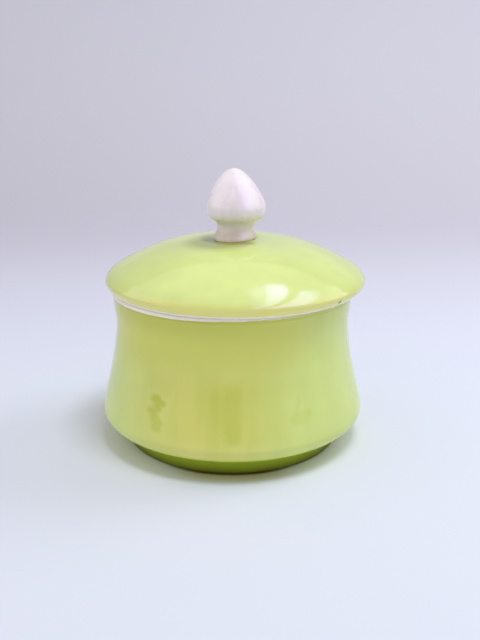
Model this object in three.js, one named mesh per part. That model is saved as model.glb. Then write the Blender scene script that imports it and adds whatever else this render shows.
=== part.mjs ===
import * as THREE from 'three';

// Porcelain sugar bowl with a loose lid, in millimetres, +Z up.
// The origin is the centre of the foot ring, on the table.
// Every piece is turned, so each is one closed outline of radius against height.

// Bowl, outside
const BELLY_RADIUS = 55;
const BELLY_HEIGHT = 13.7;
const WAIST_RADIUS = 48.3;
const WAIST_HEIGHT = 50.7;
const RIM_RADIUS = 49.6;
const RIM_HEIGHT = 63.6;
const BOWL_WALL = 3.2;

// How far each outline stays upright below and above its widest and narrowest lines
const BELLY_PULL_DOWN = 4.2;
const BELLY_PULL_UP = 3.6;
const WAIST_PULL_DOWN = 13.8;
const WAIST_PULL_UP = 4;
const INNER_BELLY_RISE = 1.8;

// Foot ring, recess and floor
const FOOT_RADIUS = 44.9;
const FOOT_TOP_RADIUS = 43.6;
const FOOT_HEIGHT = 6.1;
const FOOT_WIDTH = 3.8;
const FOOT_ROUND = 0.5;
const UNDERSIDE_REACH = 7.6;
const UNDERSIDE_RISE = 1.2;
const RECESS_DEPTH = 4.4;
const RECESS_ROUND = 1.2;
const FLOOR_THICKNESS = 4.2;
const FLOOR_FLAT_RADIUS = 34;
const FLOOR_REACH = 12;

// Lips of the rim, which leave a flat seat between them
const OUTER_LIP = 1.1;
const INNER_LIP = 0.6;
const LIP_FLARE = 0.4;

// Lid: its seat, the widest line of its round edge, the shoulder above it and the crown
const LID_SEAT_RADIUS = 48.9;
const LID_RADIUS = 53.2;
const LID_WIDEST_RISE = 4.1;
const EDGE_REACH = 2.3;
const EDGE_PULL_DOWN = 1.4;
const EDGE_PULL_UP = 2;
const SHOULDER_RADIUS = 49;
const SHOULDER_RISE = 9.1;
const SHOULDER_SLOPE = THREE.MathUtils.degToRad(30.3);
const SHOULDER_PULL = 1.6;
const CROWN_RISE = 20;
const DOME_PULL = 18;
const CROWN_PULL = 15;

// Hollow of the lid: one wall under the dome, widest behind the edge, then a ledge over the seat
const LID_WALL = 3.6;
const LEDGE_THICKNESS = 3.2;
const HOLLOW_RADIUS = 47.4;
const HOLLOW_ROUND = 2.8;
const HOLLOW_SHOULDER_RADIUS = 42;
const HOLLOW_SHOULDER_DROP = 7.8;
const HOLLOW_PULL = 15;

// Locating flange under the lid, and how far off centre the lid has come to rest on the rim
const FLANGE_CLEARANCE = 2;
const FLANGE_DEPTH = 5.5;
const FLANGE_DRAFT = 0.9;
const FLANGE_THICKNESS = 3;
const FLANGE_ROUND = 0.6;
const LID_SHIFT = 1.2;

// Knob: a bud on a short neck with a flared foot
const KNOB_HEIGHT = 28.4;
const KNOB_RADIUS = 11.9;
const KNOB_WIDEST = 13;
const KNOB_TIP_REACH = 5.8;
const KNOB_PULL_UP = 3.4;
const KNOB_PULL_DOWN = 7;
const NECK_RADIUS = 7.4;
const NECK_HEIGHT = 4.2;
const NECK_PULL_UP = 5.4;
const NECK_FLARE = 1.5;
const KNOB_FOOT_RADIUS = 8.5;
const KNOB_FOOT_ROUND = 0.6;
const KNOB_FOOT_HEIGHT = 0.9;

// Steps round the axis
const BOWL_STEPS = 72;
const KNOB_STEPS = 48;

// A cubic curve with handles of this share of its corner is all but a quarter circle
const QUARTER_PULL = 0.5523;

// Sizes that follow from the ones above
const FOOT_INNER_RADIUS = FOOT_RADIUS - FOOT_WIDTH;
const MOUTH_RADIUS = RIM_RADIUS - BOWL_WALL;
const INNER_WAIST_RADIUS = WAIST_RADIUS - BOWL_WALL;
const INNER_BELLY_RADIUS = BELLY_RADIUS - BOWL_WALL;
const INNER_BELLY_HEIGHT = BELLY_HEIGHT + INNER_BELLY_RISE;
const FLOOR_HEIGHT = RECESS_DEPTH + FLOOR_THICKNESS;
const HOLLOW_TOP = CROWN_RISE - LID_WALL;
const FLANGE_RADIUS = MOUTH_RADIUS - FLANGE_CLEARANCE;
const FLANGE_BORE = FLANGE_RADIUS - FLANGE_THICKNESS;
const KNOB_BASE_RADIUS = KNOB_FOOT_RADIUS - KNOB_FOOT_ROUND;

// An outline is a list of points: x is the radius and y is the height.
function startAt(radius, height) {
  return [new THREE.Vector2(radius, height)];
}

function lineTo(outline, radius, height) {
  outline.push(new THREE.Vector2(radius, height));
}

// A smooth curve from the last point, pulled by two handles. Each is given as [radius, height].
function curveTo(outline, handleA, handleB, end, steps) {
  const curve = new THREE.CubicBezierCurve(
    outline[outline.length - 1],
    new THREE.Vector2(...handleA),
    new THREE.Vector2(...handleB),
    new THREE.Vector2(...end),
  );
  outline.push(...curve.getPoints(steps).slice(1));
}

// A quarter round from the last point to the end, in place of the sharp corner between them.
function roundTo(outline, corner, end, steps) {
  const start = outline[outline.length - 1].toArray();
  const handle = (point) => point.map((value, i) => THREE.MathUtils.lerp(value, corner[i], QUARTER_PULL));
  curveTo(outline, handle(start), handle(end), end, steps);
}

// Turns an outline about the vertical axis.
function turned(outline, steps) {
  const geometry = new THREE.LatheGeometry(outline, steps);
  geometry.rotateX(Math.PI / 2);
  return geometry;
}

function glaze(color, roughness) {
  return new THREE.MeshStandardMaterial({ color, roughness, metalness: 0 });
}

function piece(name, geometry, material) {
  const mesh = new THREE.Mesh(geometry, material);
  mesh.name = name;
  return mesh;
}

// Underside of the bowl: the recess, then the foot ring's flat face and its flared outside.
function footOutline() {
  const outline = startAt(0, RECESS_DEPTH);
  lineTo(outline, FOOT_INNER_RADIUS - RECESS_ROUND, RECESS_DEPTH);
  roundTo(outline, [FOOT_INNER_RADIUS, RECESS_DEPTH], [FOOT_INNER_RADIUS, RECESS_DEPTH - RECESS_ROUND], 2);
  lineTo(outline, FOOT_INNER_RADIUS, FOOT_ROUND);
  lineTo(outline, FOOT_INNER_RADIUS + FOOT_ROUND, 0);
  lineTo(outline, FOOT_RADIUS - FOOT_ROUND, 0);
  roundTo(outline, [FOOT_RADIUS, 0], [FOOT_RADIUS, FOOT_ROUND], 2);
  lineTo(outline, FOOT_TOP_RADIUS, FOOT_HEIGHT);
  return outline;
}

// The bowl: foot, round belly, waist, flared rim with a flat seat, and the hollow inside.
function bowlOutline() {
  const outline = footOutline();
  curveTo(outline, [FOOT_TOP_RADIUS + UNDERSIDE_REACH, FOOT_HEIGHT + UNDERSIDE_RISE],
    [BELLY_RADIUS, BELLY_HEIGHT - BELLY_PULL_DOWN], [BELLY_RADIUS, BELLY_HEIGHT], 6);
  curveTo(outline, [BELLY_RADIUS, BELLY_HEIGHT + BELLY_PULL_UP],
    [WAIST_RADIUS, WAIST_HEIGHT - WAIST_PULL_DOWN], [WAIST_RADIUS, WAIST_HEIGHT], 7);
  curveTo(outline, [WAIST_RADIUS, WAIST_HEIGHT + WAIST_PULL_UP],
    [RIM_RADIUS - LIP_FLARE, RIM_HEIGHT - WAIST_PULL_UP], [RIM_RADIUS, RIM_HEIGHT - OUTER_LIP], 3);
  roundTo(outline, [RIM_RADIUS, RIM_HEIGHT], [RIM_RADIUS - OUTER_LIP, RIM_HEIGHT], 3);
  lineTo(outline, MOUTH_RADIUS + INNER_LIP, RIM_HEIGHT);
  roundTo(outline, [MOUTH_RADIUS, RIM_HEIGHT], [MOUTH_RADIUS, RIM_HEIGHT - INNER_LIP], 2);
  curveTo(outline, [MOUTH_RADIUS - LIP_FLARE, RIM_HEIGHT - WAIST_PULL_UP],
    [INNER_WAIST_RADIUS, WAIST_HEIGHT + WAIST_PULL_UP], [INNER_WAIST_RADIUS, WAIST_HEIGHT], 3);
  curveTo(outline, [INNER_WAIST_RADIUS, WAIST_HEIGHT - WAIST_PULL_DOWN],
    [INNER_BELLY_RADIUS, INNER_BELLY_HEIGHT + BELLY_PULL_UP], [INNER_BELLY_RADIUS, INNER_BELLY_HEIGHT], 5);
  curveTo(outline, [INNER_BELLY_RADIUS, INNER_BELLY_HEIGHT - BELLY_PULL_DOWN],
    [FLOOR_FLAT_RADIUS + FLOOR_REACH, FLOOR_HEIGHT], [FLOOR_FLAT_RADIUS, FLOOR_HEIGHT], 5);
  lineTo(outline, 0, FLOOR_HEIGHT);
  return outline;
}

function bowl() {
  return piece('bowl', turned(bowlOutline(), BOWL_STEPS), glaze(0xbdc36a, 0.15));
}

// Inside of the lid, with heights from its seat: dome, hollow behind the edge, ledge and flange.
function hollowOutline() {
  const slopeOut = Math.cos(SHOULDER_SLOPE);
  const slopeUp = Math.sin(SHOULDER_SLOPE);
  const shoulderHeight = HOLLOW_TOP - HOLLOW_SHOULDER_DROP;
  const outline = startAt(0, HOLLOW_TOP);
  curveTo(outline, [HOLLOW_PULL, HOLLOW_TOP],
    [HOLLOW_SHOULDER_RADIUS - HOLLOW_PULL * slopeOut, shoulderHeight + HOLLOW_PULL * slopeUp],
    [HOLLOW_SHOULDER_RADIUS, shoulderHeight], 6);
  curveTo(outline,
    [HOLLOW_SHOULDER_RADIUS + HOLLOW_ROUND * slopeOut, shoulderHeight - HOLLOW_ROUND * slopeUp],
    [HOLLOW_RADIUS, shoulderHeight - EDGE_PULL_UP],
    [HOLLOW_RADIUS, LEDGE_THICKNESS + HOLLOW_ROUND], 4);
  roundTo(outline, [HOLLOW_RADIUS, LEDGE_THICKNESS], [HOLLOW_RADIUS - HOLLOW_ROUND, LEDGE_THICKNESS], 3);
  lineTo(outline, FLANGE_BORE + 2 * FLANGE_ROUND, LEDGE_THICKNESS);
  roundTo(outline, [FLANGE_BORE, LEDGE_THICKNESS], [FLANGE_BORE, LEDGE_THICKNESS - 2 * FLANGE_ROUND], 2);
  lineTo(outline, FLANGE_BORE, FLANGE_ROUND - FLANGE_DEPTH);
  roundTo(outline, [FLANGE_BORE, -FLANGE_DEPTH], [FLANGE_BORE + FLANGE_ROUND, -FLANGE_DEPTH], 2);
  return outline;
}

// The lid: hollow and flange, the flat seat, the round overhanging edge, the shoulder and the dome.
function lidOutline() {
  const slopeOut = Math.cos(SHOULDER_SLOPE);
  const slopeUp = Math.sin(SHOULDER_SLOPE);
  const flangeTip = FLANGE_RADIUS - FLANGE_DRAFT;
  const outline = hollowOutline();
  lineTo(outline, flangeTip - FLANGE_ROUND, -FLANGE_DEPTH);
  roundTo(outline, [flangeTip, -FLANGE_DEPTH], [flangeTip, FLANGE_ROUND - FLANGE_DEPTH], 2);
  lineTo(outline, FLANGE_RADIUS, 0);
  lineTo(outline, LID_SEAT_RADIUS, 0);
  curveTo(outline, [LID_SEAT_RADIUS + EDGE_REACH, 0], [LID_RADIUS, LID_WIDEST_RISE - EDGE_PULL_DOWN],
    [LID_RADIUS, LID_WIDEST_RISE], 6);
  curveTo(outline, [LID_RADIUS, LID_WIDEST_RISE + EDGE_PULL_UP],
    [SHOULDER_RADIUS + SHOULDER_PULL * slopeOut, SHOULDER_RISE - SHOULDER_PULL * slopeUp],
    [SHOULDER_RADIUS, SHOULDER_RISE], 5);
  curveTo(outline, [SHOULDER_RADIUS - DOME_PULL * slopeOut, SHOULDER_RISE + DOME_PULL * slopeUp],
    [KNOB_BASE_RADIUS + CROWN_PULL, CROWN_RISE], [KNOB_BASE_RADIUS, CROWN_RISE], 8);
  lineTo(outline, 0, CROWN_RISE);
  return outline;
}

function lid() {
  return piece('lid', turned(lidOutline(), BOWL_STEPS), glaze(0xd1df8f, 0.14));
}

// The knob, with heights from the crown: foot, neck, round underside and the bud up to its tip.
function knobOutline() {
  const outline = startAt(0, 0);
  lineTo(outline, KNOB_BASE_RADIUS, 0);
  roundTo(outline, [KNOB_FOOT_RADIUS, 0], [KNOB_FOOT_RADIUS, KNOB_FOOT_HEIGHT], 3);
  curveTo(outline, [KNOB_FOOT_RADIUS, KNOB_FOOT_HEIGHT + NECK_FLARE],
    [NECK_RADIUS, NECK_HEIGHT - NECK_FLARE], [NECK_RADIUS, NECK_HEIGHT], 4);
  curveTo(outline, [NECK_RADIUS, NECK_HEIGHT + NECK_PULL_UP], [KNOB_RADIUS, KNOB_WIDEST - KNOB_PULL_DOWN],
    [KNOB_RADIUS, KNOB_WIDEST], 8);
  curveTo(outline, [KNOB_RADIUS, KNOB_WIDEST + KNOB_PULL_UP], [KNOB_TIP_REACH, KNOB_HEIGHT],
    [0, KNOB_HEIGHT], 9);
  return outline;
}

function knob() {
  const bud = piece('knob', turned(knobOutline(), KNOB_STEPS), glaze(0xe8e2e6, 0.18));
  bud.position.z = CROWN_RISE;
  return bud;
}

// The lid and its knob move together: their group stands with the seat on the bowl's rim.
function cover() {
  const group = new THREE.Group();
  group.add(lid(), knob());
  group.position.set(LID_SHIFT, 0, RIM_HEIGHT);
  return group;
}

const sugarBowl = new THREE.Group();
sugarBowl.add(bowl(), cover());

export default sugarBowl;
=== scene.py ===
"""A covered sugar bowl in glazed porcelain: a green bowl and lid with white edges, and a white bud knob."""

import math

import bmesh
import bpy
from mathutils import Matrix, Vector
from mathutils.geometry import interpolate_bezier


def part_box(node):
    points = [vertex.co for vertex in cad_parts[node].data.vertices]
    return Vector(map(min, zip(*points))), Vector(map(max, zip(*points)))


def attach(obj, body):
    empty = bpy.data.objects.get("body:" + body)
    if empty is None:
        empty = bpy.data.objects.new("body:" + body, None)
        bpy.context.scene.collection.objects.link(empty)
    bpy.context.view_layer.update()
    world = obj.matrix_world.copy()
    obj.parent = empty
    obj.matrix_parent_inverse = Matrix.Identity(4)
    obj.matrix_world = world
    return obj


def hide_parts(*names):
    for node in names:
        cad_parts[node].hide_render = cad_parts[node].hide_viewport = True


bl_info = {
    "name": "Covered Sugar Bowl",
    "version": (1, 0, 0),
    "blender": (4, 5, 0),
    "location": "3D View > Sidebar > Sugar Bowl",
    "description": "Turns and glazes a porcelain sugar bowl with a loose lid, and sets it on a studio sweep",
    "category": "Add Mesh",
}

MM = 0.001

# The frame's own solids give the main sizes
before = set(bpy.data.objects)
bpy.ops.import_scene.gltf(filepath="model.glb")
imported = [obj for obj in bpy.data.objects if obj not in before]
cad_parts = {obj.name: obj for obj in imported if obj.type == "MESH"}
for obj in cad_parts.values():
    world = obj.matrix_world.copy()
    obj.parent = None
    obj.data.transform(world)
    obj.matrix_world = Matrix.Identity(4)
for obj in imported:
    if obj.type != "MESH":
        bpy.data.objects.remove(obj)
BOWL_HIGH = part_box("bowl")[1]
LID_LOW, LID_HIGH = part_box("lid")
KNOB_LOW, KNOB_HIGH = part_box("knob")
LID_CENTRE = (LID_LOW + LID_HIGH) / 2

# A cubic curve whose handles go this far to its corner is all but a quarter circle
QUARTER_PULL = 0.5523

# How far the bowl's wall stays upright below and above its widest and narrowest lines
BELLY_PULL_DOWN = 4.2 * MM
BELLY_PULL_UP = 3.6 * MM
WAIST_PULL_DOWN = 13.8 * MM
WAIST_PULL_UP = 4.0 * MM

# How far the rim's lip flares out, and the round on its outer edge
LIP_FLARE = 0.4 * MM
LIP_ROUND = 1.1 * MM

# Which way the lid's dome runs down where it meets its shoulder
DOME_SLOPE = math.radians(30.3)
DOWN_THE_DOME = Vector((math.cos(DOME_SLOPE), -math.sin(DOME_SLOPE)))

# Steps round the axis, and how close two corners lie that are made one
BOWL_STEPS = 224
KNOB_STEPS = 160
SAME_PLACE = 0.001 * MM

# The attribute with each corner's length along its outline
ALONG = "along"

# How unevenly the glazes end, and over how much the green fades into the white line
BOWL_RAGGEDNESS = 0.5 * MM
LID_RAGGEDNESS = 0.9 * MM
KNOB_RAGGEDNESS = 2.5 * MM
WHITE_LINE_FADE = 0.25 * MM

# The glaze's index, how strongly it shines, and the depth of its waves
LEAD_GLAZE_INDEX = 1.6
GLAZE_GLOSS = 0.5
POOL_GLOSS = 0.12
KNOB_GLOSS = 0.43
GLAZE_WAVES = 0.12 * MM
KNOB_WAVES = 0.03 * MM

# Marks on the bowl's front: across, up, width and height in millimetres, and strength
FRONT_STRIPS = (
    (-5.6, 29.3, 5.8, 15.0, 0.24),
    (0.2, 27.5, 6.4, 21.0, 0.34),
)
FRONT_SPOTS = (
    # A crooked mark at the left, from its top down, and the soft cloud round its top
    (-28.6, 30.2, 4.9, 4.4, 0.7),
    (-26.8, 29.2, 4.6, 3.2, 0.7),
    (-28.2, 27.3, 4.0, 4.4, 0.65),
    (-30.1, 25.6, 5.0, 3.4, 0.58),
    (-29.6, 23.6, 4.0, 4.0, 0.55),
    (-28.4, 21.9, 4.4, 3.6, 0.5),
    (-28.8, 20.1, 4.2, 3.8, 0.45),
    (-27.6, 35.0, 9.0, 9.0, 0.15),
    # A patch at the right, with a thin mark above it
    (25.6, 24.3, 7.6, 6.0, 0.3),
    (28.6, 24.6, 3.0, 2.6, 0.26),
    (24.7, 29.0, 2.2, 7.0, 0.2),
    # The lower end of the strips in the middle
    (0.4, 20.5, 6.6, 9.0, 0.36),
)

# Where the knob's painted shadow on the lid centres, and where its speck is, from the middle of its seat
KNOB_SHADOW = Vector((-6.0, -7.0, 18.0)) * MM
SPECK = Vector((39.0, -35.4, 2.6)) * MM

# Lamps: azimuth and elevation in degrees, width in metres and power in watts
LAMPS = (
    ("ceiling_light", 40, 74, 0.36, 4.2),
    ("window_light", 110, 42, 0.56, 2.8),
)
LAMP_TINT = (0.92, 0.955, 1.0)

# The room's brightness, with glows added: azimuth, elevation and spread in degrees, and strength.
# The last one in the gloss has a strength below zero, so it dims the room in front
EVEN_FILL = 0.46
FILL_GLOWS = ((-90, 25, 70, 0.38), (180, 50, 45, 0.20), (0, 12, 60, 0.22))
EVEN_GLOSS = 0.75
GLOSS_GLOWS = ((97, 5, 60, 1.3), (-100, 5, 55, 0.8), (0, 90, 60, 0.5), (0, 4, 75, -0.4))
LEFT_PANE_STRENGTH = 7.8
RIGHT_PANE_STRENGTH = 5.0

# Tints of the room. The window is bluer than white, so that it comes out white over the green
FILL_TINT = (1.0, 0.95, 0.87)
ROOM_TINT = (1.0, 1.0, 1.0)
WINDOW_TINT = (0.48, 0.40, 1.0)
BACKDROP_TINT = (0.60, 0.60, 0.68)


def length(name, description, default):
    return bpy.props.FloatProperty(
        name=name, description=description, default=default, min=0.0, precision=5, unit="LENGTH"
    )


def colour(name, description, default):
    return bpy.props.FloatVectorProperty(
        name=name, description=description, default=default, size=3, min=0.0, max=1.0, subtype="COLOR"
    )


class BowlSizes(bpy.types.PropertyGroup):
    """Sizes of the bowl."""

    belly_radius: length("Belly radius", "Radius at the widest line", BOWL_HIGH.x)
    belly_height: length("Belly height", "Height of the widest line", 13.7 * MM)
    waist_radius: length("Waist radius", "Radius at the narrowest line", 48.3 * MM)
    waist_height: length("Waist height", "Height of the narrowest line", 50.7 * MM)
    rim_radius: length("Rim radius", "Outer radius of the rim", 49.6 * MM)
    rim_height: length("Rim height", "Height of the seat for the lid", BOWL_HIGH.z)
    wall: length("Wall", "Thickness of the wall", 3.2 * MM)
    foot_radius: length("Foot radius", "Outer radius of the foot ring where it stands", 44.9 * MM)
    foot_top_radius: length("Foot top radius", "Radius of the foot ring under the belly", 43.6 * MM)
    foot_height: length("Foot height", "Height of the foot ring", 6.1 * MM)
    foot_width: length("Foot width", "Width of the foot ring where it stands", 3.8 * MM)
    recess_depth: length("Recess depth", "Depth of the recess inside the foot ring", 4.4 * MM)
    floor_thickness: length("Floor", "Thickness of the floor over the recess", 4.2 * MM)
    white_line: length("White line", "How far below the rim the green glaze stops", 1.05 * MM)


class LidSizes(bpy.types.PropertyGroup):
    """Sizes of the lid, with its heights taken from the seat."""

    radius: length("Radius", "Radius of the widest line of the edge", (LID_HIGH.x - LID_LOW.x) / 2)
    widest_rise: length("Widest line", "Height of the widest line", 4.1 * MM)
    seat_radius: length("Seat radius", "Outer radius of the flat seat", 48.9 * MM)
    shoulder_radius: length("Shoulder radius", "Radius where the edge turns into the dome", 49.0 * MM)
    shoulder_rise: length("Shoulder", "Height of the shoulder", 9.1 * MM)
    crown_rise: length("Crown", "Height of the crown", LID_HIGH.z - BOWL_HIGH.z)
    wall: length("Wall", "Thickness of the dome", 3.6 * MM)
    ledge: length("Ledge", "Thickness over the seat", 3.2 * MM)
    flange_radius: length("Flange radius", "Outer radius of the locating flange at the seat", 44.4 * MM)
    flange_draft: length("Flange draft", "How much narrower the flange is at its tip", 0.9 * MM)
    flange_width: length("Flange width", "Thickness of the flange at the seat", 3.0 * MM)
    flange_depth: length("Flange depth", "How far the flange hangs below the seat", BOWL_HIGH.z - LID_LOW.z)
    white_edge: length("White edge", "Width of the bare white edge outside the seat", 3.7 * MM)


class KnobSizes(bpy.types.PropertyGroup):
    """Sizes of the knob, with its heights taken from the lid's crown."""

    radius: length("Radius", "Radius of the bud at its widest", (KNOB_HIGH.x - KNOB_LOW.x) / 2)
    height: length("Height", "Height of the tip", KNOB_HIGH.z - KNOB_LOW.z)
    widest: length("Widest line", "Height of the widest line", 13.0 * MM)
    neck_radius: length("Neck radius", "Radius of the neck", 7.4 * MM)
    neck_height: length("Neck height", "Height of the narrowest line of the neck", 4.2 * MM)
    foot_radius: length("Foot radius", "Radius of the flared foot", 8.5 * MM)
    flute_depth: length("Flutes", "Depth of the finger marks left up the bud", 0.03 * MM)


class GlazeColours(bpy.types.PropertyGroup):
    """Colours of the glazes, the bare clay and the studio."""

    bowl_green: colour("Bowl green", "Glaze on the outside of the bowl", (0.665, 0.785, 0.225))
    # Thick glaze and its streaks are painted shade: a more olive, streaked green across the wall's front and
    # back
    front_shade_green: colour("Thick glaze", "Glaze where it is thick, on the bowl's front", (0.715, 0.72, 0.18))
    streak_green: colour("Streaks", "Greener streaks in the thick glaze", (0.665, 0.69, 0.155))
    # Upper glaze is painted shade under the lid's overhang, high on the wall
    upper_shade_green: colour("Upper glaze", "Glaze on the upper wall of the bowl", (0.68, 0.72, 0.13))
    lid_green: colour("Lid green", "Glaze on the lid", (0.65, 0.76, 0.255))
    thin_green: colour("Thin glaze", "Glaze where it runs thin at an edge", (0.92, 0.84, 0.24))
    # Rim green is painted shade, cast by the lid's overhang on the wall just under the rim
    rim_shade_green: colour("Rim green", "Glaze where it gathers under the rim", (0.50, 0.53, 0.055))
    # Glaze runs: the colour of the darker olive marks on the bowl's front
    front_mark_green: colour("Glaze runs", "Glaze in the few marks where it ran", (0.45, 0.53, 0.02))
    # Underside green is a painted reflection of the bright floor, where the belly turns under
    underside_reflection_green: colour("Underside green", "Glaze where the belly turns under", (0.72, 0.87, 0.17))
    # Foot green and foot dark are painted shade under the belly, darkest where the foot ring meets the floor
    foot_shade_green: colour("Foot green", "Glaze where it pools thick under the belly", (0.40, 0.52, 0.018))
    contact_shade_dark: colour("Foot dark", "Glaze where it ends in a thick roll", (0.032, 0.026, 0.002))
    # Pool green is glaze pooled at the knob's foot, darkened as painted contact shadow
    pool_and_shadow_green: colour("Pool green", "Glaze pooled round the foot of the knob", (0.24, 0.275, 0.012))
    # Drift green is a painted shadow of the knob on the lid, at its front left
    knob_shadow_green: colour("Drift green", "Glaze drifted thick beside the knob", (0.36, 0.415, 0.105))
    porcelain: colour("Porcelain", "White porcelain under clear glaze", (0.96, 0.92, 0.82))
    knob_white: colour("Knob white", "White porcelain of the knob", (0.86, 0.79, 0.86))
    # Knob pale is painted light on the knob's left side
    knob_left_light: colour("Knob pale", "Whiter porcelain at the knob's left", (0.96, 0.90, 1.0))
    # Knob shade is the colour of the fine upright streaks up the knob
    knob_shade: colour("Knob shade", "Brush marks up the knob", (0.80, 0.71, 0.79))
    knob_foot: colour("Knob foot", "Porcelain at the foot of the knob", (0.76, 0.66, 0.60))
    # Neck glaze is clear glaze gathered round the neck, tinted as painted green bounce light from the lid
    neck_glaze_and_bounce: colour("Neck glaze", "Clear glaze where it gathers round the neck", (0.62, 0.61, 0.40))
    bare_clay: colour("Bare clay", "Unglazed clay under the foot ring", (0.66, 0.61, 0.54))
    iron_speck: colour("Iron speck", "Speck of iron in the lid's glaze", (0.09, 0.05, 0.008))
    near_floor: colour("Near floor", "Paper sweep in front", (0.70, 0.74, 0.87))
    # Paper fold is greyer as painted fall-off of the light where the sweep curves up
    fold_shade_paper: colour("Paper fold", "Paper sweep where it curves up", (0.61, 0.60, 0.69))
    # Foot mark is painted shadow on the paper round the foot ring, and bright paper is painted bounce light
    # from the glaze
    foot_shadow_paper: colour("Foot mark", "Paper under the foot ring and close to it", (0.49, 0.43, 0.26))
    bounce_lit_paper: colour("Bright paper", "Paper that the glaze's reflection brightens", (0.765, 0.785, 0.89))
    # Far paper is greyer still as painted fall-off of the light at the back
    far_shade_paper: colour("Far paper", "Paper sweep at the back", (0.655, 0.655, 0.75))


class Outline:
    """Points of (radius, height) that will be turned, with named marks of how far along they lie."""

    def __init__(self, radius, height):
        self.points = [Vector((radius, height))]
        self.marks = {}

    def line(self, radius, height, steps):
        start = self.points[-1]
        end = Vector((radius, height))
        self.points += [start.lerp(end, step / steps) for step in range(1, steps + 1)]

    def curve(self, handle_a, handle_b, end, steps):
        """A smooth curve to the end, pulled by two handles."""
        start = self.points[-1]
        points = interpolate_bezier(start, Vector(handle_a), Vector(handle_b), Vector(end), steps + 1)
        self.points += [Vector((point.x, point.y)) for point in points[1:]]

    def round(self, corner, end, steps):
        """A quarter round to the end, in place of a sharp corner."""
        corner = Vector(corner)
        end = Vector(end)
        handle_a = self.points[-1].lerp(corner, QUARTER_PULL)
        handle_b = end.lerp(corner, QUARTER_PULL)
        self.curve(handle_a, handle_b, end, steps)

    def lengths(self):
        """How far along the outline each point lies."""
        totals = [0.0]
        for start, end in zip(self.points, self.points[1:]):
            totals.append(totals[-1] + (end - start).length)
        return totals

    def mark(self, name):
        self.marks[name] = self.lengths()[-1]


def foot_outline(sizes):
    """The recess, the foot ring's flat face, its flared outside and the corner under the belly."""
    inner = sizes.foot_radius - sizes.foot_width
    recess_round = 1.2 * MM
    edge_round = 0.5 * MM
    outer_round = 0.8 * MM
    corner_drop = 0.3 * MM
    corner = Vector((sizes.foot_top_radius, sizes.foot_height))
    corner_end = corner + Vector((0.4, 0.06)) * MM
    outline = Outline(0.0, sizes.recess_depth)
    outline.line(inner - recess_round, sizes.recess_depth, steps=12)
    outline.round((inner, sizes.recess_depth), (inner, sizes.recess_depth - recess_round), steps=6)
    outline.line(inner, edge_round, steps=4)
    outline.mark("clay_start")
    outline.round((inner, 0.0), (inner + edge_round, 0.0), steps=4)
    outline.line(sizes.foot_radius - outer_round, 0.0, steps=4)
    outline.mark("clay_end")
    outline.round((sizes.foot_radius, 0.0), (sizes.foot_radius, outer_round), steps=6)
    outline.line(sizes.foot_top_radius, sizes.foot_height - corner_drop, steps=8)
    outline.mark("foot_top")
    outline.round(corner, corner_end, steps=4)
    return outline


def add_bowl_outside(outline, sizes):
    """From the foot ring out to the belly, in to the waist and out to the rim."""
    under_belly = Vector((7.6, 1.2)) * MM
    outline.curve(
        Vector((sizes.foot_top_radius, sizes.foot_height)) + under_belly,
        (sizes.belly_radius, sizes.belly_height - BELLY_PULL_DOWN),
        (sizes.belly_radius, sizes.belly_height), steps=28)
    outline.curve(
        (sizes.belly_radius, sizes.belly_height + BELLY_PULL_UP),
        (sizes.waist_radius, sizes.waist_height - WAIST_PULL_DOWN),
        (sizes.waist_radius, sizes.waist_height), steps=40)
    outline.curve(
        (sizes.waist_radius, sizes.waist_height + WAIST_PULL_UP),
        (sizes.rim_radius - LIP_FLARE, sizes.rim_height - WAIST_PULL_UP),
        (sizes.rim_radius, sizes.rim_height - LIP_ROUND), steps=18)
    outline.mark("lip")


def add_bowl_inside(outline, sizes):
    """Over the rim's flat seat, and down one wall away from the outside to the middle of the floor."""
    inner_round = 0.6 * MM
    belly_lift = 1.8 * MM
    floor_pull = 46 * MM
    floor_radius = 34 * MM
    mouth = sizes.rim_radius - sizes.wall
    waist = sizes.waist_radius - sizes.wall
    belly = sizes.belly_radius - sizes.wall
    belly_height = sizes.belly_height + belly_lift
    floor_height = sizes.recess_depth + sizes.floor_thickness
    outline.round(
        (sizes.rim_radius, sizes.rim_height), (sizes.rim_radius - LIP_ROUND, sizes.rim_height), steps=10)
    outline.line(mouth + inner_round, sizes.rim_height, steps=3)
    outline.round((mouth, sizes.rim_height), (mouth, sizes.rim_height - inner_round), steps=6)
    outline.curve(
        (mouth - LIP_FLARE, sizes.rim_height - WAIST_PULL_UP),
        (waist, sizes.waist_height + WAIST_PULL_UP), (waist, sizes.waist_height), steps=14)
    outline.curve(
        (waist, sizes.waist_height - WAIST_PULL_DOWN),
        (belly, belly_height + BELLY_PULL_UP), (belly, belly_height), steps=28)
    outline.curve(
        (belly, belly_height - BELLY_PULL_DOWN),
        (floor_pull, floor_height), (floor_radius, floor_height), steps=20)
    outline.line(0.0, floor_height, steps=10)


def bowl_outline(sizes):
    """The foot, the outside, and the inside down to the middle of the floor."""
    outline = foot_outline(sizes)
    add_bowl_outside(outline, sizes)
    add_bowl_inside(outline, sizes)
    return outline


def lid_hollow_outline(sizes):
    """The dome's inside, and the hollow behind the lid's edge down to the ledge over the seat."""
    dome_pull = 15 * MM
    hollow_pull = 2 * MM
    hollow_round = 2.8 * MM
    hollow_radius = 47.4 * MM
    shoulder_radius = 42 * MM
    shoulder_drop = 7.8 * MM
    top = sizes.crown_rise - sizes.wall
    shoulder = Vector((shoulder_radius, top - shoulder_drop))
    outline = Outline(0.0, top)
    outline.curve((dome_pull, top), shoulder - dome_pull * DOWN_THE_DOME, shoulder, steps=28)
    outline.curve(
        shoulder + hollow_round * DOWN_THE_DOME,
        (hollow_radius, shoulder.y - hollow_pull),
        (hollow_radius, sizes.ledge + hollow_round), steps=12)
    outline.round(
        (hollow_radius, sizes.ledge), (hollow_radius - hollow_round, sizes.ledge), steps=8)
    return outline


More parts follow.
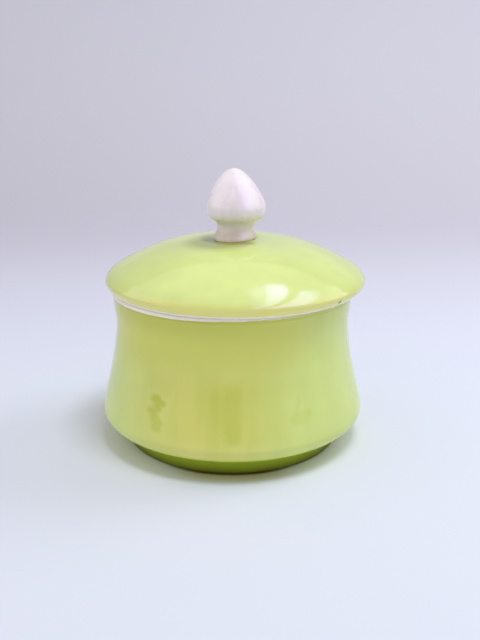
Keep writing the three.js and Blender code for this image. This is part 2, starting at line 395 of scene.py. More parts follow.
def add_flange(outline, sizes):
    """Down the flange's bore, round its tip, and up its outside to the seat."""
    tip_round = 0.6 * MM
    bore_round = 1.2 * MM
    seat_round = 0.3 * MM
    top_draft = 0.05 * MM
    low = -sizes.flange_depth
    bore = sizes.flange_radius - sizes.flange_width
    tip = sizes.flange_radius - sizes.flange_draft
    outline.line(bore + bore_round, sizes.ledge, steps=2)
    outline.round((bore, sizes.ledge), (bore, sizes.ledge - bore_round), steps=6)
    outline.line(bore, low + tip_round, steps=6)
    outline.round((bore, low), (bore + tip_round, low), steps=5)
    outline.line(tip - tip_round, low, steps=2)
    outline.round((tip, low), (tip, low + tip_round), steps=5)
    outline.line(sizes.flange_radius - top_draft, -seat_round, steps=5)
    outline.round((sizes.flange_radius, 0.0), (sizes.flange_radius + seat_round, 0.0), steps=4)


def add_lid_edge(outline, sizes):
    """The flat seat, and the round edge up to the shoulder."""
    under_pull = 2.3 * MM
    widest_pull_down = 1.4 * MM
    widest_pull_up = 2 * MM
    shoulder_pull = 1.6 * MM
    shoulder = Vector((sizes.shoulder_radius, sizes.shoulder_rise))
    outline.line(sizes.seat_radius, 0.0, steps=4)
    outline.mark("seat_end")
    outline.curve(
        (sizes.seat_radius + under_pull, 0.0),
        (sizes.radius, sizes.widest_rise - widest_pull_down), (sizes.radius, sizes.widest_rise), steps=28)
    outline.curve(
        (sizes.radius, sizes.widest_rise + widest_pull_up),
        shoulder + shoulder_pull * DOWN_THE_DOME, shoulder, steps=22)


def add_dome(outline, sizes, knob_foot):
    """The dome, a low bead of glaze round the knob's foot, and the flat crown under the knob."""
    shoulder_pull = 18 * MM
    crown_pull = Vector((15 * MM, 0.0))
    bead_start = Vector((1.4, 0.0)) * MM
    # Two handles and an end for each side of the bead, in millimetres from the knob's foot
    bead_outside = ((1.0, 0.0), (0.8, 0.25), (0.3, 0.25))
    bead_inside = ((0.1, 0.25), (0.0, 0.0), (-0.2, 0.0))
    shoulder = Vector((sizes.shoulder_radius, sizes.shoulder_rise))
    foot = Vector((knob_foot, sizes.crown_rise))
    outline.curve(
        shoulder - shoulder_pull * DOWN_THE_DOME, foot + crown_pull, foot + bead_start, steps=44)
    outline.mark("pool")
    outline.curve(*[foot + Vector(point) * MM for point in bead_outside], steps=8)
    outline.curve(*[foot + Vector(point) * MM for point in bead_inside], steps=5)
    outline.line(0.0, sizes.crown_rise, steps=4)


def lid_outline(sizes, knob_foot):
    """The hollow inside, the flange, the edge and the dome."""
    outline = lid_hollow_outline(sizes)
    add_flange(outline, sizes)
    add_lid_edge(outline, sizes)
    add_dome(outline, sizes, knob_foot)
    return outline


def knob_outline(sizes):
    """Foot, neck, round underside and the bud up to its tip."""
    foot_round = 0.6 * MM
    foot_height = 0.9 * MM
    neck_pull_down = 1.5 * MM
    neck_pull_up = 5.4 * MM
    bud_pull_down = 7 * MM
    bud_pull_up = 3.4 * MM
    tip_pull = 5.8 * MM
    outline = Outline(0.0, 0.0)
    outline.line(sizes.foot_radius - foot_round, 0.0, steps=4)
    outline.round((sizes.foot_radius, 0.0), (sizes.foot_radius, foot_height), steps=8)
    outline.curve(
        (sizes.foot_radius, foot_height + neck_pull_down),
        (sizes.neck_radius, sizes.neck_height - neck_pull_down),
        (sizes.neck_radius, sizes.neck_height), steps=12)
    outline.curve(
        (sizes.neck_radius, sizes.neck_height + neck_pull_up),
        (sizes.radius, sizes.widest - bud_pull_down), (sizes.radius, sizes.widest), steps=32)
    outline.curve(
        (sizes.radius, sizes.widest + bud_pull_up), (tip_pull, sizes.height), (0.0, sizes.height), steps=48)
    return outline


def spin_outline(outline, steps):
    """A closed turned mesh, with the length along the outline kept at each corner as an attribute."""
    mesh = bmesh.new()
    along = mesh.verts.layers.float.new(ALONG)
    corners = []
    for point, travelled in zip(outline.points, outline.lengths()):
        corner = mesh.verts.new((point.x, 0.0, point.y))
        corner[along] = travelled
        corners.append(corner)
    edges = [mesh.edges.new(pair) for pair in zip(corners, corners[1:])]
    bmesh.ops.spin(
        mesh, geom=corners + edges, cent=(0, 0, 0), axis=(0, 0, 1), dvec=(0, 0, 0),
        angle=math.tau, steps=steps, use_merge=True, use_normal_flip=False, use_duplicate=False)
    bmesh.ops.remove_doubles(mesh, verts=mesh.verts[:], dist=SAME_PLACE)
    bmesh.ops.recalc_face_normals(mesh, faces=mesh.faces[:])
    return mesh


def add_object(name, mesh, material):
    """Puts the mesh in the scene as a smooth object."""
    for face in mesh.faces:
        face.smooth = True
    data = bpy.data.meshes.new(name)
    mesh.to_mesh(data)
    mesh.free()
    data.materials.append(material)
    added = bpy.data.objects.new(name, data)
    bpy.context.scene.collection.objects.link(added)
    return added


def add_piece(name, mesh, place, material, body, node):
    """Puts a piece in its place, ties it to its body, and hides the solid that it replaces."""
    bmesh.ops.translate(mesh, vec=place, verts=mesh.verts[:])
    piece = add_object(name, mesh, material)
    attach(piece, body)
    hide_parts(node)


def as_colour(value):
    """A socket as it is, and three channels with an alpha of one."""
    if isinstance(value, bpy.types.NodeSocket):
        return value
    return (*value, 1.0)


class Graph:
    """Adds nodes to a node tree. An input that is a socket is linked, and any other is set."""

    def __init__(self, owner):
        owner.use_nodes = True
        self.tree = owner.node_tree
        self.tree.nodes.clear()

    def add(self, kind, inputs=None, **settings):
        node = self.tree.nodes.new(kind)
        for name, value in settings.items():
            setattr(node, name, value)
        for name, value in (inputs or {}).items():
            if isinstance(value, bpy.types.NodeSocket):
                self.tree.links.new(value, node.inputs[name])
            else:
                node.inputs[name].default_value = value
        return node

    def math(self, operation, *values):
        return self.add("ShaderNodeMath", dict(enumerate(values)), operation=operation).outputs[0]

    def product(self, *values):
        total = values[0]
        for value in values[1:]:
            total = self.math("MULTIPLY", total, value)
        return total

    def vector_math(self, operation, *values, result="Vector"):
        """Works on vectors. Where the result is a single number, it is the one called Value."""
        inputs = dict(enumerate(values))
        return self.add("ShaderNodeVectorMath", inputs, operation=operation).outputs[result]

    def object_position(self):
        return self.add("ShaderNodeTexCoord").outputs["Object"]

    def along(self):
        return self.add("ShaderNodeAttribute", attribute_name=ALONG).outputs["Fac"]

    def part(self, position, axis):
        """One coordinate of a position."""
        return self.add("ShaderNodeSeparateXYZ", {0: position}).outputs[axis]

    def absolute(self, value):
        return self.math("ABSOLUTE", value)

    def distance(self, position, point):
        return self.vector_math("DISTANCE", position, point, result="Value")

    def ease(self, value, low, high, at_low=0.0, at_high=1.0):
        """Eases from one number to another as the value passes from low to high."""
        inputs = {
            "Value": value, "From Min": low, "From Max": high, "To Min": at_low, "To Max": at_high}
        return self.add("ShaderNodeMapRange", inputs, interpolation_type="SMOOTHSTEP").outputs["Result"]

    def fade(self, value, low, high, most=1.0, least=0.0):
        """Eases down from the most to the least as the value passes from low to high."""
        return self.ease(value, low, high, most, least)

    def noise(self, position, scale, detail=2.0, stretch=(1.0, 1.0, 1.0)):
        """Noise whose blotches are about one over scale metres wide."""
        placed = self.add("ShaderNodeMapping", {"Vector": position, "Scale": stretch}).outputs[0]
        inputs = {"Vector": placed, "Scale": scale, "Detail": detail, "Roughness": 0.5}
        return self.add("ShaderNodeTexNoise", inputs).outputs["Fac"]

    def mix(self, factor, first, second):
        """Mixes two colours, which are inputs 6 and 7 of the node and make its output 2."""
        inputs = {"Factor": factor, 6: as_colour(first), 7: as_colour(second)}
        return self.add("ShaderNodeMix", inputs, data_type="RGBA").outputs[2]


def start_material(name):
    """A new material, its graph, and the position on the object."""
    material = bpy.data.materials.new(name)
    graph = Graph(material)
    return material, graph, graph.object_position()


def orange_peel(graph, position, depth):
    """The faint waves that any dipped glaze has, as a bump."""
    ripple_share = 0.12
    strength = 0.25
    swell = graph.noise(position, scale=70.0, detail=1.0)
    ripple = graph.noise(position, scale=420.0)
    height = graph.math("MULTIPLY_ADD", ripple, ripple_share, swell)
    inputs = {"Height": height, "Strength": strength, "Distance": depth}
    return graph.add("ShaderNodeBump", inputs).outputs["Normal"]


def glazed_shader(graph, base, roughness, bump, gloss):
    """A glossy glaze over the clay."""
    inputs = {
        "Base Color": base, "Roughness": roughness, "IOR": LEAD_GLAZE_INDEX,
        "Specular IOR Level": gloss, "Normal": bump}
    shader = graph.add("ShaderNodeBsdfPrincipled", inputs)
    graph.add("ShaderNodeOutputMaterial", {"Surface": shader.outputs[0]})


def ragged_along(graph, position, scale, reach):
    """The length along the outline, moved on by up to the reach, so that the glaze's edges are uneven."""
    return graph.math("MULTIPLY_ADD", graph.noise(position, scale), reach, graph.along())


def mottled_green(graph, position, green):
    """Green glaze in its thicker and thinner clouds, with faint runs down the wall."""
    run_strength = 0.35
    cloud = graph.ease(graph.noise(position, scale=34.0, detail=3.0), 0.36, 0.66)
    runs = graph.ease(graph.noise(position, scale=60.0, stretch=(1.6, 1.6, 0.25)), 0.35, 0.68)
    clouded = graph.mix(cloud, green * 1.04, green * 0.96)
    return graph.mix(graph.product(runs, run_strength), clouded, green * 0.9)


def glaze_roughness(graph, position, scale=55.0, low=0.05, high=0.10):
    """Roughness in soft clouds. Unless told otherwise, the green glaze's."""
    return graph.ease(graph.noise(position, scale, detail=3.0), 0.3, 0.7, low, high)


def front_strip(graph, position, strip):
    """A soft upright strip of a darker olive on the front of the bowl."""
    across, up, width, height, strength = strip
    side_softness = 1.8
    end_softness = 4.0
    aside = graph.absolute(graph.math("SUBTRACT", graph.part(position, "X"), across * MM))
    level = graph.absolute(graph.math("SUBTRACT", graph.part(position, "Z"), up * MM))
    column = graph.fade(aside, (width / 2 - side_softness) * MM, (width / 2 + side_softness) * MM)
    stretch = graph.fade(
        level, (height / 2 - end_softness) * MM, (height / 2 + end_softness) * MM, strength)
    return graph.product(column, stretch)


def front_spot(graph, position, spot):
    """A soft oval of a darker olive on the front of the bowl."""
    across, up, width, height, strength = spot
    # Distances in the oval's own measure, which is one at its edge
    core = 0.4
    faded = 1.4
    scale = (2 / (width * MM), 0.0, 2 / (height * MM))
    centre = (across * MM * scale[0], 0.0, up * MM * scale[2])
    placed = graph.vector_math("MULTIPLY", position, scale)
    return graph.fade(graph.distance(placed, centre), core, faded, strength)


def front_marks(graph, position):
    """How strong the marks on the front are, with ragged outlines."""
    raggedness = Vector((1.4, 0.0, 1.4)) * MM
    moved = graph.vector_math("MULTIPLY_ADD", graph.noise(position, scale=380.0), raggedness, position)
    moved = graph.vector_math("SUBTRACT", moved, raggedness / 2)
    total = 0.0
    for strip in FRONT_STRIPS:
        total = graph.math("ADD", total, front_strip(graph, moved, strip))
    for spot in FRONT_SPOTS:
        total = graph.math("MAXIMUM", total, front_spot(graph, moved, spot))
    front = graph.fade(graph.part(position, "Y"), -20 * MM, -10 * MM)
    return graph.product(total, front)


def wall_green(graph, position, across, from_rim, colours):
    """Mottled green, with painted shade in a more olive, streaked green at front and back. Painted shade
    high up under the lid fades out to the right.
    """
    green = mottled_green(graph, position, colours.bowl_green)
    # Painted shade: a more olive green across the front and back, with random streaks
    front = graph.fade(graph.absolute(across), 8 * MM, 42 * MM)
    streaks = graph.ease(graph.noise(position, scale=110.0, stretch=(1.0, 1.0, 0.12)), 0.38, 0.64)
    green = graph.mix(front, green, graph.mix(streaks, colours.front_shade_green, colours.streak_green))
    # Painted shade high on the wall under the lid, fading out to the right
    left = graph.fade(across, 20 * MM, 46 * MM)
    upper = graph.fade(from_rim, 10 * MM, 30 * MM)
    return graph.mix(graph.product(left, upper), green, colours.upper_shade_green)


def rim_painted_shade(graph, across, from_rim):
    """How much painted shade the lid casts under the rim: a soft band and a thin line, both weaker at the
    right.
    """
    soft_shade = graph.fade(from_rim, 1 * MM, 11 * MM, most=0.55)
    thin_line = graph.fade(from_rim, 0.0, 1.2 * MM)
    weaker = graph.fade(across, 0.0, 30 * MM, least=0.55)
    return graph.product(graph.math("MAXIMUM", soft_shade, thin_line), weaker)


def bowl_green(graph, position, along, marks, colours):
    """The green of the wall, with its painted shade under the rim and the marks on the front."""
    wander = 20 * MM
    across = graph.math("MULTIPLY_ADD", graph.noise(position, scale=28.0), wander, graph.part(position, "X"))
    from_rim = graph.math("SUBTRACT", marks["white_line"], along)
    green = wall_green(graph, position, across, from_rim, colours)
    # Painted shade under the rim
    green = graph.mix(rim_painted_shade(graph, across, from_rim), green, colours.rim_shade_green)
    return graph.mix(front_marks(graph, position), green, colours.front_mark_green)


def add_underside_light_and_shade(graph, along, marks, pooled, green, colours):
    """A painted reflection of the floor where the belly turns under, and painted shade down the foot ring to
    its darkest end.
    """
    foot_top = marks["foot_top"]
    underside = graph.fade(along, foot_top + 10 * MM, foot_top + 14 * MM, most=0.7)
    green = graph.mix(underside, green, colours.underside_reflection_green)
    shade_to_contact = graph.fade(along, marks["clay_end"] - 1.0 * MM, foot_top)
    return graph.mix(pooled, green, graph.mix(shade_to_contact, colours.foot_shade_green, colours.contact_shade_dark))


def below_white_line(graph, position, along, marks):
    """One below the white line under the rim, which is narrower at the right, and none above it."""
    climb = graph.ease(
        graph.part(position, "X"), -36 * MM, 34 * MM, at_low=0.1 * MM, at_high=1.1 * MM)
    level = graph.math("SUBTRACT", along, climb)
    return graph.fade(level, marks["white_line"], marks["white_line"] + WHITE_LINE_FADE)


def bowl_material(colours, marks):
    """Green outside up to the white line, clear over white inside, bare clay under the foot ring."""
    clay_roughness = 0.5
    pool_roughness = 0.35
    material, graph, position = start_material("bowl_glaze")
    along = ragged_along(graph, position, scale=170.0, reach=BOWL_RAGGEDNESS)
    # Painted shade under the belly, on the foot ring
    pooled = graph.fade(along, marks["foot_top"] - 0.6 * MM, marks["foot_top"] + 2.5 * MM)
    green = bowl_green(graph, position, along, marks, colours)
    green = add_underside_light_and_shade(graph, along, marks, pooled, green, colours)
    glazed = graph.ease(along, marks["clay_end"] - 0.3 * MM, marks["clay_end"] + 0.1 * MM)
    outside = graph.product(glazed, below_white_line(graph, position, along, marks))
    base = graph.mix(outside, colours.porcelain, green)
    after_recess = graph.ease(along, marks["clay_start"], marks["clay_start"] + 0.3 * MM)
    clay = graph.product(after_recess, graph.math("SUBTRACT", 1.0, glazed))
    base = graph.mix(clay, base, colours.bare_clay)
    roughness = graph.math("MULTIPLY_ADD", clay, clay_roughness, glaze_roughness(graph, position))
    roughness = graph.math("MULTIPLY_ADD", pooled, pool_roughness, roughness)
    gloss = graph.fade(pooled, 0.0, 1.0, most=GLAZE_GLOSS, least=POOL_GLOSS)
    glazed_shader(graph, base, roughness, orange_peel(graph, position, GLAZE_WAVES), gloss)
    return material


def knob_pool_and_shadow(graph, position, along, marks):
    """How much glaze lies in a thin pool against the knob's foot, darkened there as painted contact shadow,
    at the front and a little left.
    """
    skew = 0.45
    reach = 5.5 * MM
    askew = graph.math("MULTIPLY_ADD", graph.part(position, "X"), skew, graph.part(position, "Y"))
    forward = graph.fade(askew, -9 * MM, -1 * MM)
    reached = graph.math("MULTIPLY_ADD", forward, reach, along)
    return graph.product(forward, graph.ease(reached, marks["pool"], marks["pool"] + 3.5 * MM))


def lid_green(graph, position, along, marks, knob_shadow, colours):
    """Mottled green, yellower where it is thin at the edge, with a painted shadow of the knob and a darker
    pool against its foot.
    """
    white_edge = marks["white_edge"]
    green = mottled_green(graph, position, colours.lid_green)
    thin = graph.fade(along, white_edge + 1.0 * MM, white_edge + 7.5 * MM)
    to_sides = graph.fade(graph.absolute(graph.part(position, "X")), 28 * MM, 52 * MM, most=0.8, least=0.4)
    green = graph.mix(graph.product(thin, to_sides), green, colours.thin_green)
    # Painted shadow of the knob, soft, at its front left
    drifted = graph.fade(graph.distance(position, knob_shadow), 8 * MM, 18 * MM, most=0.95)
    green = graph.mix(drifted, green, colours.knob_shadow_green)
    return graph.mix(knob_pool_and_shadow(graph, position, along, marks), green, colours.pool_and_shadow_green)


def lid_material(colours, marks, knob_shadow, speck):
    """Green dome with a white edge below it, and one speck of iron."""
    material, graph, position = start_material("lid_glaze")
    along = ragged_along(graph, position, scale=150.0, reach=LID_RAGGEDNESS)
    green = lid_green(graph, position, along, marks, knob_shadow, colours)
    outside = graph.ease(along, marks["white_edge"], marks["white_edge"] + 0.3 * MM)
    base = graph.mix(outside, colours.porcelain, green)
    spot = graph.fade(graph.distance(position, speck), 0.5 * MM, 0.9 * MM)
    base = graph.mix(spot, base, colours.iron_speck)
    bump = orange_peel(graph, position, GLAZE_WAVES)
    glazed_shader(graph, base, glaze_roughness(graph, position), bump, GLAZE_GLOSS)
    return material


def knob_material(colours):
    """White porcelain with fine upright streaks, painted light at the left, warmer at the foot, and clear
    glaze round the neck tinted as painted green bounce light.
    """
    material, graph, position = start_material("knob_porcelain")
    along = graph.along()
    streaked = graph.ease(graph.noise(position, scale=330.0, detail=1.0, stretch=(1.0, 1.0, 0.1)), 0.40, 0.75)
    base = graph.mix(streaked, colours.knob_white, colours.knob_shade)
    # Painted light on the left side
    left = graph.fade(graph.part(position, "X"), -11 * MM, 2 * MM, most=0.8)
    base = graph.mix(left, base, colours.knob_left_light)
    ragged = ragged_along(graph, position, scale=260.0, reach=KNOB_RAGGEDNESS)
    foot = graph.fade(ragged, 12 * MM, 15.5 * MM, most=0.8)
    base = graph.mix(foot, base, colours.knob_foot)
    # Glaze gathered round the neck, with painted green bounce light from the lid
    neck = graph.product(
        graph.ease(along, 12.5 * MM, 16 * MM), graph.fade(along, 18 * MM, 22 * MM, most=0.45))
    base = graph.mix(neck, base, colours.neck_glaze_and_bounce)
    roughness = glaze_roughness(graph, position, scale=200.0, low=0.26, high=0.34)
    glazed_shader(graph, base, roughness, orange_peel(graph, position, KNOB_WAVES), KNOB_GLOSS)
    return material


def shade_paper_by_foot(graph, position, paper, colours):
    """Paints shade on the paper in front of and behind the foot ring, painted bounce light at both sides,
    and a painted contact shadow where the foot ring stands.
    """
    from_axis = graph.distance(position, (0.0, 0.0, 0.0))
    aside = graph.absolute(graph.part(position, "X"))
    ring = graph.product(graph.fade(from_axis, 45 * MM, 54 * MM), graph.fade(aside, 8 * MM, 32 * MM))
    paper = graph.mix(ring, paper, colours.foot_shadow_paper)
    sides = graph.product(graph.fade(from_axis, 50 * MM, 72 * MM), graph.ease(aside, 16 * MM, 38 * MM))
    paper = graph.mix(sides, paper, colours.bounce_lit_paper)
    # Painted contact shadow where the foot ring stands
    contact_shadow = graph.product(
        graph.fade(from_axis, 45 * MM, 46.4 * MM, most=0.85), graph.fade(aside, 10 * MM, 30 * MM))
    return graph.mix(contact_shadow, paper, colours.contact_shade_dark)


def sweep_material(colours):
    """Matt paper that turns greyer where it curves up, as painted fall-off of the light, with painted shade
    and bounce light close to the bowl.
    """
    material, graph, position = start_material("paper_sweep")
    travelled = graph.math("ADD", graph.part(position, "Y"), graph.part(position, "Z"))
    paper = graph.mix(graph.ease(travelled, 0.0, 0.5), colours.near_floor, colours.fold_shade_paper)
    paper = graph.mix(graph.ease(travelled, 0.5, 1.0), paper, colours.far_shade_paper)
    paper = shade_paper_by_foot(graph, position, paper, colours)
    shader = graph.add("ShaderNodeBsdfPrincipled", {"Base Color": paper, "Roughness": 0.9})
    graph.add("ShaderNodeOutputMaterial", {"Surface": shader.outputs[0]})
    return material


class SUGARBOWL_OT_make_bowl(bpy.types.Operator):
    """Turn the bowl with its foot ring and glaze it"""

    bl_idname = "sugar_bowl.make_bowl"
    bl_label = "Make Bowl"

    def execute(self, context):
        sizes = context.scene.sugar_bowl_sizes
        outline = bowl_outline(sizes)
        marks = dict(outline.marks)
        # The green starts to fade here, and is gone at the white line
        marks["white_line"] = marks["lip"] + LIP_ROUND - sizes.white_line - WHITE_LINE_FADE
        material = bowl_material(context.scene.sugar_bowl_colours, marks)
        mesh = spin_outline(outline, BOWL_STEPS)
        add_piece("porcelain_bowl", mesh, Vector((0.0, 0.0, 0.0)), material, "bowl", "bowl")
        return {"FINISHED"}


class SUGARBOWL_OT_make_lid(bpy.types.Operator):
    """Turn the lid with its locating flange and glaze it"""

    bl_idname = "sugar_bowl.make_lid"
    bl_label = "Make Lid"

    def execute(self, context):
        sizes = context.scene.sugar_bowl_lid
        knob_foot = context.scene.sugar_bowl_knob.foot_radius
        seat = Vector((LID_CENTRE.x, LID_CENTRE.y, context.scene.sugar_bowl_sizes.rim_height))
        outline = lid_outline(sizes, knob_foot)
        marks = dict(outline.marks)
        marks["white_edge"] = marks["seat_end"] + sizes.white_edge
        material = lid_material(context.scene.sugar_bowl_colours, marks, seat + KNOB_SHADOW, seat + SPECK)
        mesh = spin_outline(outline, BOWL_STEPS)
        add_piece("porcelain_lid", mesh, seat, material, "cover", "lid")
        return {"FINISHED"}


def shape_foot(mesh, sizes):
    """Tilts the knob's foot down at the front left and spreads it there, because it was stuck on askew."""
    spread = 1.1 * MM
    tilt = 0.45 * MM
    front_left = Vector((-0.55, -0.84, 0.0))
    for vert in mesh.verts:
        outwards = Vector((vert.co.x, vert.co.y, 0.0))
        if vert.co.z >= sizes.neck_height or outwards.length < sizes.foot_radius / 2:
            continue
        low = 1.0 - vert.co.z / sizes.neck_height
        facing = outwards.normalized().dot(front_left)
        vert.co += outwards.normalized() * spread * low * max(facing, 0.0) ** 2
        vert.co.z -= tilt * low * facing


def press_flutes(mesh, sizes):
    """Presses the finger marks in round the bud, deepest half way up."""
    flutes = 7
    turned = 0.6
    bottom = sizes.widest * 0.7
    reach = sizes.height * 0.5
    for vert in mesh.verts:
        outwards = Vector((vert.co.x, vert.co.y, 0.0))
        if outwards.length <= 1 * MM:
            continue
        share = min(max((vert.co.z - bottom) / reach, 0.0), 1.0)
        wave = math.cos(flutes * math.atan2(vert.co.y, vert.co.x) + turned)
        pressed = sizes.flute_depth * math.sin(math.pi * share) * (1.0 - wave)
        vert.co -= outwards.normalized() * pressed


def lean_bud(mesh, sizes):
    """Swings the bud to the right at its widest and back to the left at its tip, as a hand left it."""
    lean = 0.48 * MM
    swing = 1.5 * math.pi
    for vert in mesh.verts:
        share = (vert.co.z - sizes.neck_height) / (sizes.height - sizes.neck_height)
        if share > 0.0:
            vert.co.x += lean * math.sin(swing * share)


class SUGARBOWL_OT_make_knob(bpy.types.Operator):
    """Turn the bud knob, with the faint finger marks up its sides"""

    bl_idname = "sugar_bowl.make_knob"
    bl_label = "Make Knob"

    def execute(self, context):
        sizes = context.scene.sugar_bowl_knob
        mesh = spin_outline(knob_outline(sizes), KNOB_STEPS)
        shape_foot(mesh, sizes)
        press_flutes(mesh, sizes)
        lean_bud(mesh, sizes)
        place = Vector((LID_CENTRE.x, LID_CENTRE.y, KNOB_LOW.z))
        material = knob_material(context.scene.sugar_bowl_colours)
        add_piece("porcelain_knob", mesh, place, material, "cover", "knob")
        return {"FINISHED"}


def sweep_points():
    """Side view of the paper: a floor that bends up into a wall well behind the bowl."""
    front = -1.8
    bend_start = 0.45
    bend_radius = 0.35
    top = 1.0
    steps = 24
    points = [Vector((0.0, front, 0.0)), Vector((0.0, bend_start, 0.0))]
    for step in range(1, steps + 1):
        angle = math.radians(90 * step / steps)
        back = bend_start + bend_radius * math.sin(angle)
        points.append(Vector((0.0, back, bend_radius - bend_radius * math.cos(angle))))
    points.append(Vector((0.0, bend_start + bend_radius, top)))
    return points


def make_sweep(colours):
    """The paper sweep that the bowl stands on."""
    half_width = Vector((2.0, 0.0, 0.0))
    mesh = bmesh.new()
    corners = [mesh.verts.new(point - half_width) for point in sweep_points()]
    edges = [mesh.edges.new(pair) for pair in zip(corners, corners[1:])]
    extruded = bmesh.ops.extrude_edge_only(mesh, edges=edges)
    moved = [item for item in extruded["geom"] if isinstance(item, bmesh.types.BMVert)]
    bmesh.ops.translate(mesh, vec=2 * half_width, verts=moved)
    bmesh.ops.recalc_face_normals(mesh, faces=mesh.faces[:])
    add_object("sweep", mesh, sweep_material(colours))


def direction_at(azimuth, elevation):
    """The direction at an azimuth, in degrees from the front to the right, and an elevation."""
    turned = math.radians(azimuth)
    raised = math.radians(elevation)
    return Vector((
        math.sin(turned) * math.cos(raised), -math.cos(turned) * math.cos(raised), math.sin(raised)))


def make_lamps():
    """Soft round lamps one metre from the bowl, aimed at its middle. The gloss doesn't show them."""
    target = Vector((0.0, 0.0, 0.06))
    for name, azimuth, elevation, width, power in LAMPS:
        light = bpy.data.lights.new(name, "AREA")
        light.shape = "DISK"
        light.size = width
        light.energy = power
        light.color = LAMP_TINT
        lamp = bpy.data.objects.new(name, light)
        outwards = direction_at(azimuth, elevation)
        lamp.location = target + outwards
        lamp.rotation_mode = "QUATERNION"
        lamp.rotation_quaternion = (-outwards).to_track_quat("-Z", "Y")
        lamp.visible_glossy = False
        bpy.context.scene.collection.objects.link(lamp)


def room_brightness(graph, direction, even, glows):
    """An even brightness, made brighter or dimmer by soft round glows."""
    total = even
    for azimuth, elevation, spread, strength in glows:
        towards = direction_at(azimuth, elevation)
        near = graph.vector_math("DOT_PRODUCT", direction, towards, result="Value")
        glow = graph.ease(near, math.cos(math.radians(spread)), 1.0, at_high=strength)
        total = graph.math("ADD", total, glow)
    return total


def left_pane(graph, across, back):
    """The pane left of the bar, with a dimmer strip at its left side. It dims towards the front."""
    left_edge = graph.math("MULTIPLY_ADD", back, 0.16, across)
    bar_edge = graph.math("MULTIPLY_ADD", back, 0.24, across)
    back_edge = graph.math("MULTIPLY_ADD", across, -0.55, back)
    dim_strip = graph.ease(left_edge, 0.08, 0.20, at_high=0.3)
    inside_left = graph.math("MAXIMUM", dim_strip, graph.ease(left_edge, 0.22, 0.31))
    inside_bar = graph.fade(bar_edge, 0.44, 0.49)
    inside_back = graph.fade(back_edge, 0.24, 0.32)
    to_front = graph.ease(back, -1.2, 0.5, at_low=0.45)
    return graph.product(inside_left, inside_bar, inside_back, to_front)


def right_pane(graph, across, back):
    """The pane right of the bar."""
    bar_edge = graph.math("MULTIPLY_ADD", back, 0.3, across)
    far_edge = graph.math("MULTIPLY_ADD", across, 0.8, back)
    inside_bar = graph.ease(bar_edge, 0.58, 0.65)
    inside_far = graph.fade(far_edge, 0.70, 1.15)
    inside_back = graph.fade(back, 0.42, 0.51)
    return graph.product(inside_bar, inside_far, inside_back)


def window_brightness(graph, direction):
    """Two panes of daylight with a bar between, laid out on a plane one metre above the bowl."""
    lowest = 0.03
    rise = graph.part(direction, "Z")
    height = graph.math("MAXIMUM", rise, lowest)
    across = graph.math("DIVIDE", graph.part(direction, "X"), height)
    back = graph.math("DIVIDE", graph.part(direction, "Y"), height)
    left_light = graph.product(left_pane(graph, across, back), LEFT_PANE_STRENGTH)
    both = graph.math("MULTIPLY_ADD", right_pane(graph, across, back), RIGHT_PANE_STRENGTH, left_light)
    return graph.product(both, graph.ease(rise, 0.05, 0.25))


def background(graph, tint, strength):
    return graph.add("ShaderNodeBackground", {"Color": as_colour(tint), "Strength": strength}).outputs[0]


def mix_shaders(graph, share, first, second):
    """The first shader where the share is none, and the second where it is one."""
    return graph.add("ShaderNodeMixShader", {0: share, 1: first, 2: second}).outputs[0]


def make_world():
    """A pale room: even fill, and for the gloss a brighter one with the window in it."""
    world = bpy.data.worlds.new("room")
    bpy.context.scene.world = world
    graph = Graph(world)
    direction = graph.add("ShaderNodeTexCoord").outputs["Generated"]
    fill = background(graph, FILL_TINT, room_brightness(graph, direction, EVEN_FILL, FILL_GLOWS))
    room = background(graph, ROOM_TINT, room_brightness(graph, direction, EVEN_GLOSS, GLOSS_GLOWS))
    window = background(graph, WINDOW_TINT, window_brightness(graph, direction))
    gloss = graph.add("ShaderNodeAddShader", {0: room, 1: window}).outputs[0]
    backdrop = background(graph, BACKDROP_TINT, 1.0)
    paths = graph.add("ShaderNodeLightPath").outputs
    light = mix_shaders(graph, paths["Is Glossy Ray"], fill, gloss)
    surface = mix_shaders(graph, paths["Is Camera Ray"], light, backdrop)
    graph.add("ShaderNodeOutputWorld", {"Surface": surface})


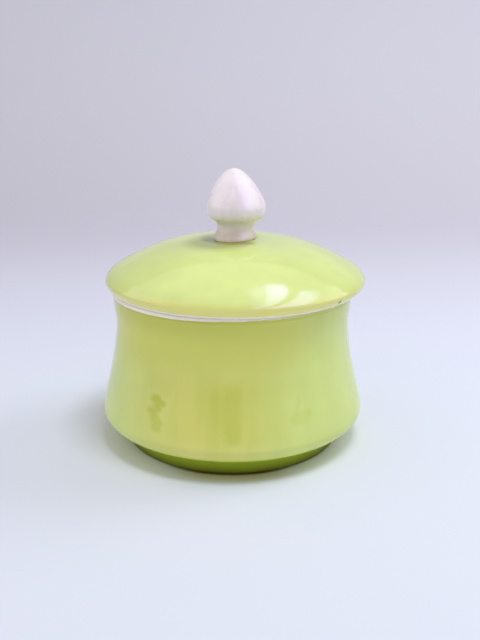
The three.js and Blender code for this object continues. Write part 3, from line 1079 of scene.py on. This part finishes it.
def make_camera():
    """The photograph's view: looking down a little, with the bowl left of the middle."""
    looking_down = 16.64
    data = bpy.data.cameras.new("camera")
    data.lens = 45.0
    data.sensor_width = 36.0
    data.shift_x = 0.0122
    data.clip_start = 0.01
    camera = bpy.data.objects.new("camera", data)
    camera.location = (0.0, -0.3233, 0.1453)
    camera.rotation_euler = (math.radians(90 - looking_down), 0.0, 0.0)
    bpy.context.scene.collection.objects.link(camera)
    bpy.context.scene.camera = camera


class SUGARBOWL_OT_set_stage(bpy.types.Operator):
    """Set up the paper sweep, the window light, the room and the camera"""

    bl_idname = "sugar_bowl.set_stage"
    bl_label = "Set Stage"

    def execute(self, context):
        make_sweep(context.scene.sugar_bowl_colours)
        make_lamps()
        make_world()
        make_camera()
        context.scene.view_settings.view_transform = "Standard"
        return {"FINISHED"}


class SUGARBOWL_PT_panel(bpy.types.Panel):
    """Lists the steps that make the sugar bowl"""

    bl_idname = "SUGARBOWL_PT_panel"
    bl_label = "Sugar Bowl"
    bl_space_type = "VIEW_3D"
    bl_region_type = "UI"
    bl_category = "Sugar Bowl"

    def draw(self, context):
        for group in GROUPS:
            settings = getattr(context.scene, group)
            box = self.layout.box()
            for name in settings.__annotations__:
                box.prop(settings, name)
        for step in STEPS:
            self.layout.operator(step.bl_idname)


STEPS = (
    SUGARBOWL_OT_make_bowl,
    SUGARBOWL_OT_make_lid,
    SUGARBOWL_OT_make_knob,
    SUGARBOWL_OT_set_stage,
)
GROUPS = {
    "sugar_bowl_sizes": BowlSizes,
    "sugar_bowl_lid": LidSizes,
    "sugar_bowl_knob": KnobSizes,
    "sugar_bowl_colours": GlazeColours,
}


def register():
    for group in GROUPS.values():
        bpy.utils.register_class(group)
    for step in STEPS:
        bpy.utils.register_class(step)
    bpy.utils.register_class(SUGARBOWL_PT_panel)
    for name, group in GROUPS.items():
        setattr(bpy.types.Scene, name, bpy.props.PointerProperty(type=group))


def unregister():
    for name in GROUPS:
        delattr(bpy.types.Scene, name)
    bpy.utils.unregister_class(SUGARBOWL_PT_panel)
    for step in reversed(STEPS):
        bpy.utils.unregister_class(step)
    for group in reversed(GROUPS.values()):
        bpy.utils.unregister_class(group)


def main():
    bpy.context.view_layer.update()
    register()
    bpy.ops.sugar_bowl.make_bowl()
    bpy.ops.sugar_bowl.make_lid()
    bpy.ops.sugar_bowl.make_knob()
    bpy.ops.sugar_bowl.set_stage()


if __name__ == "__main__":
    main()
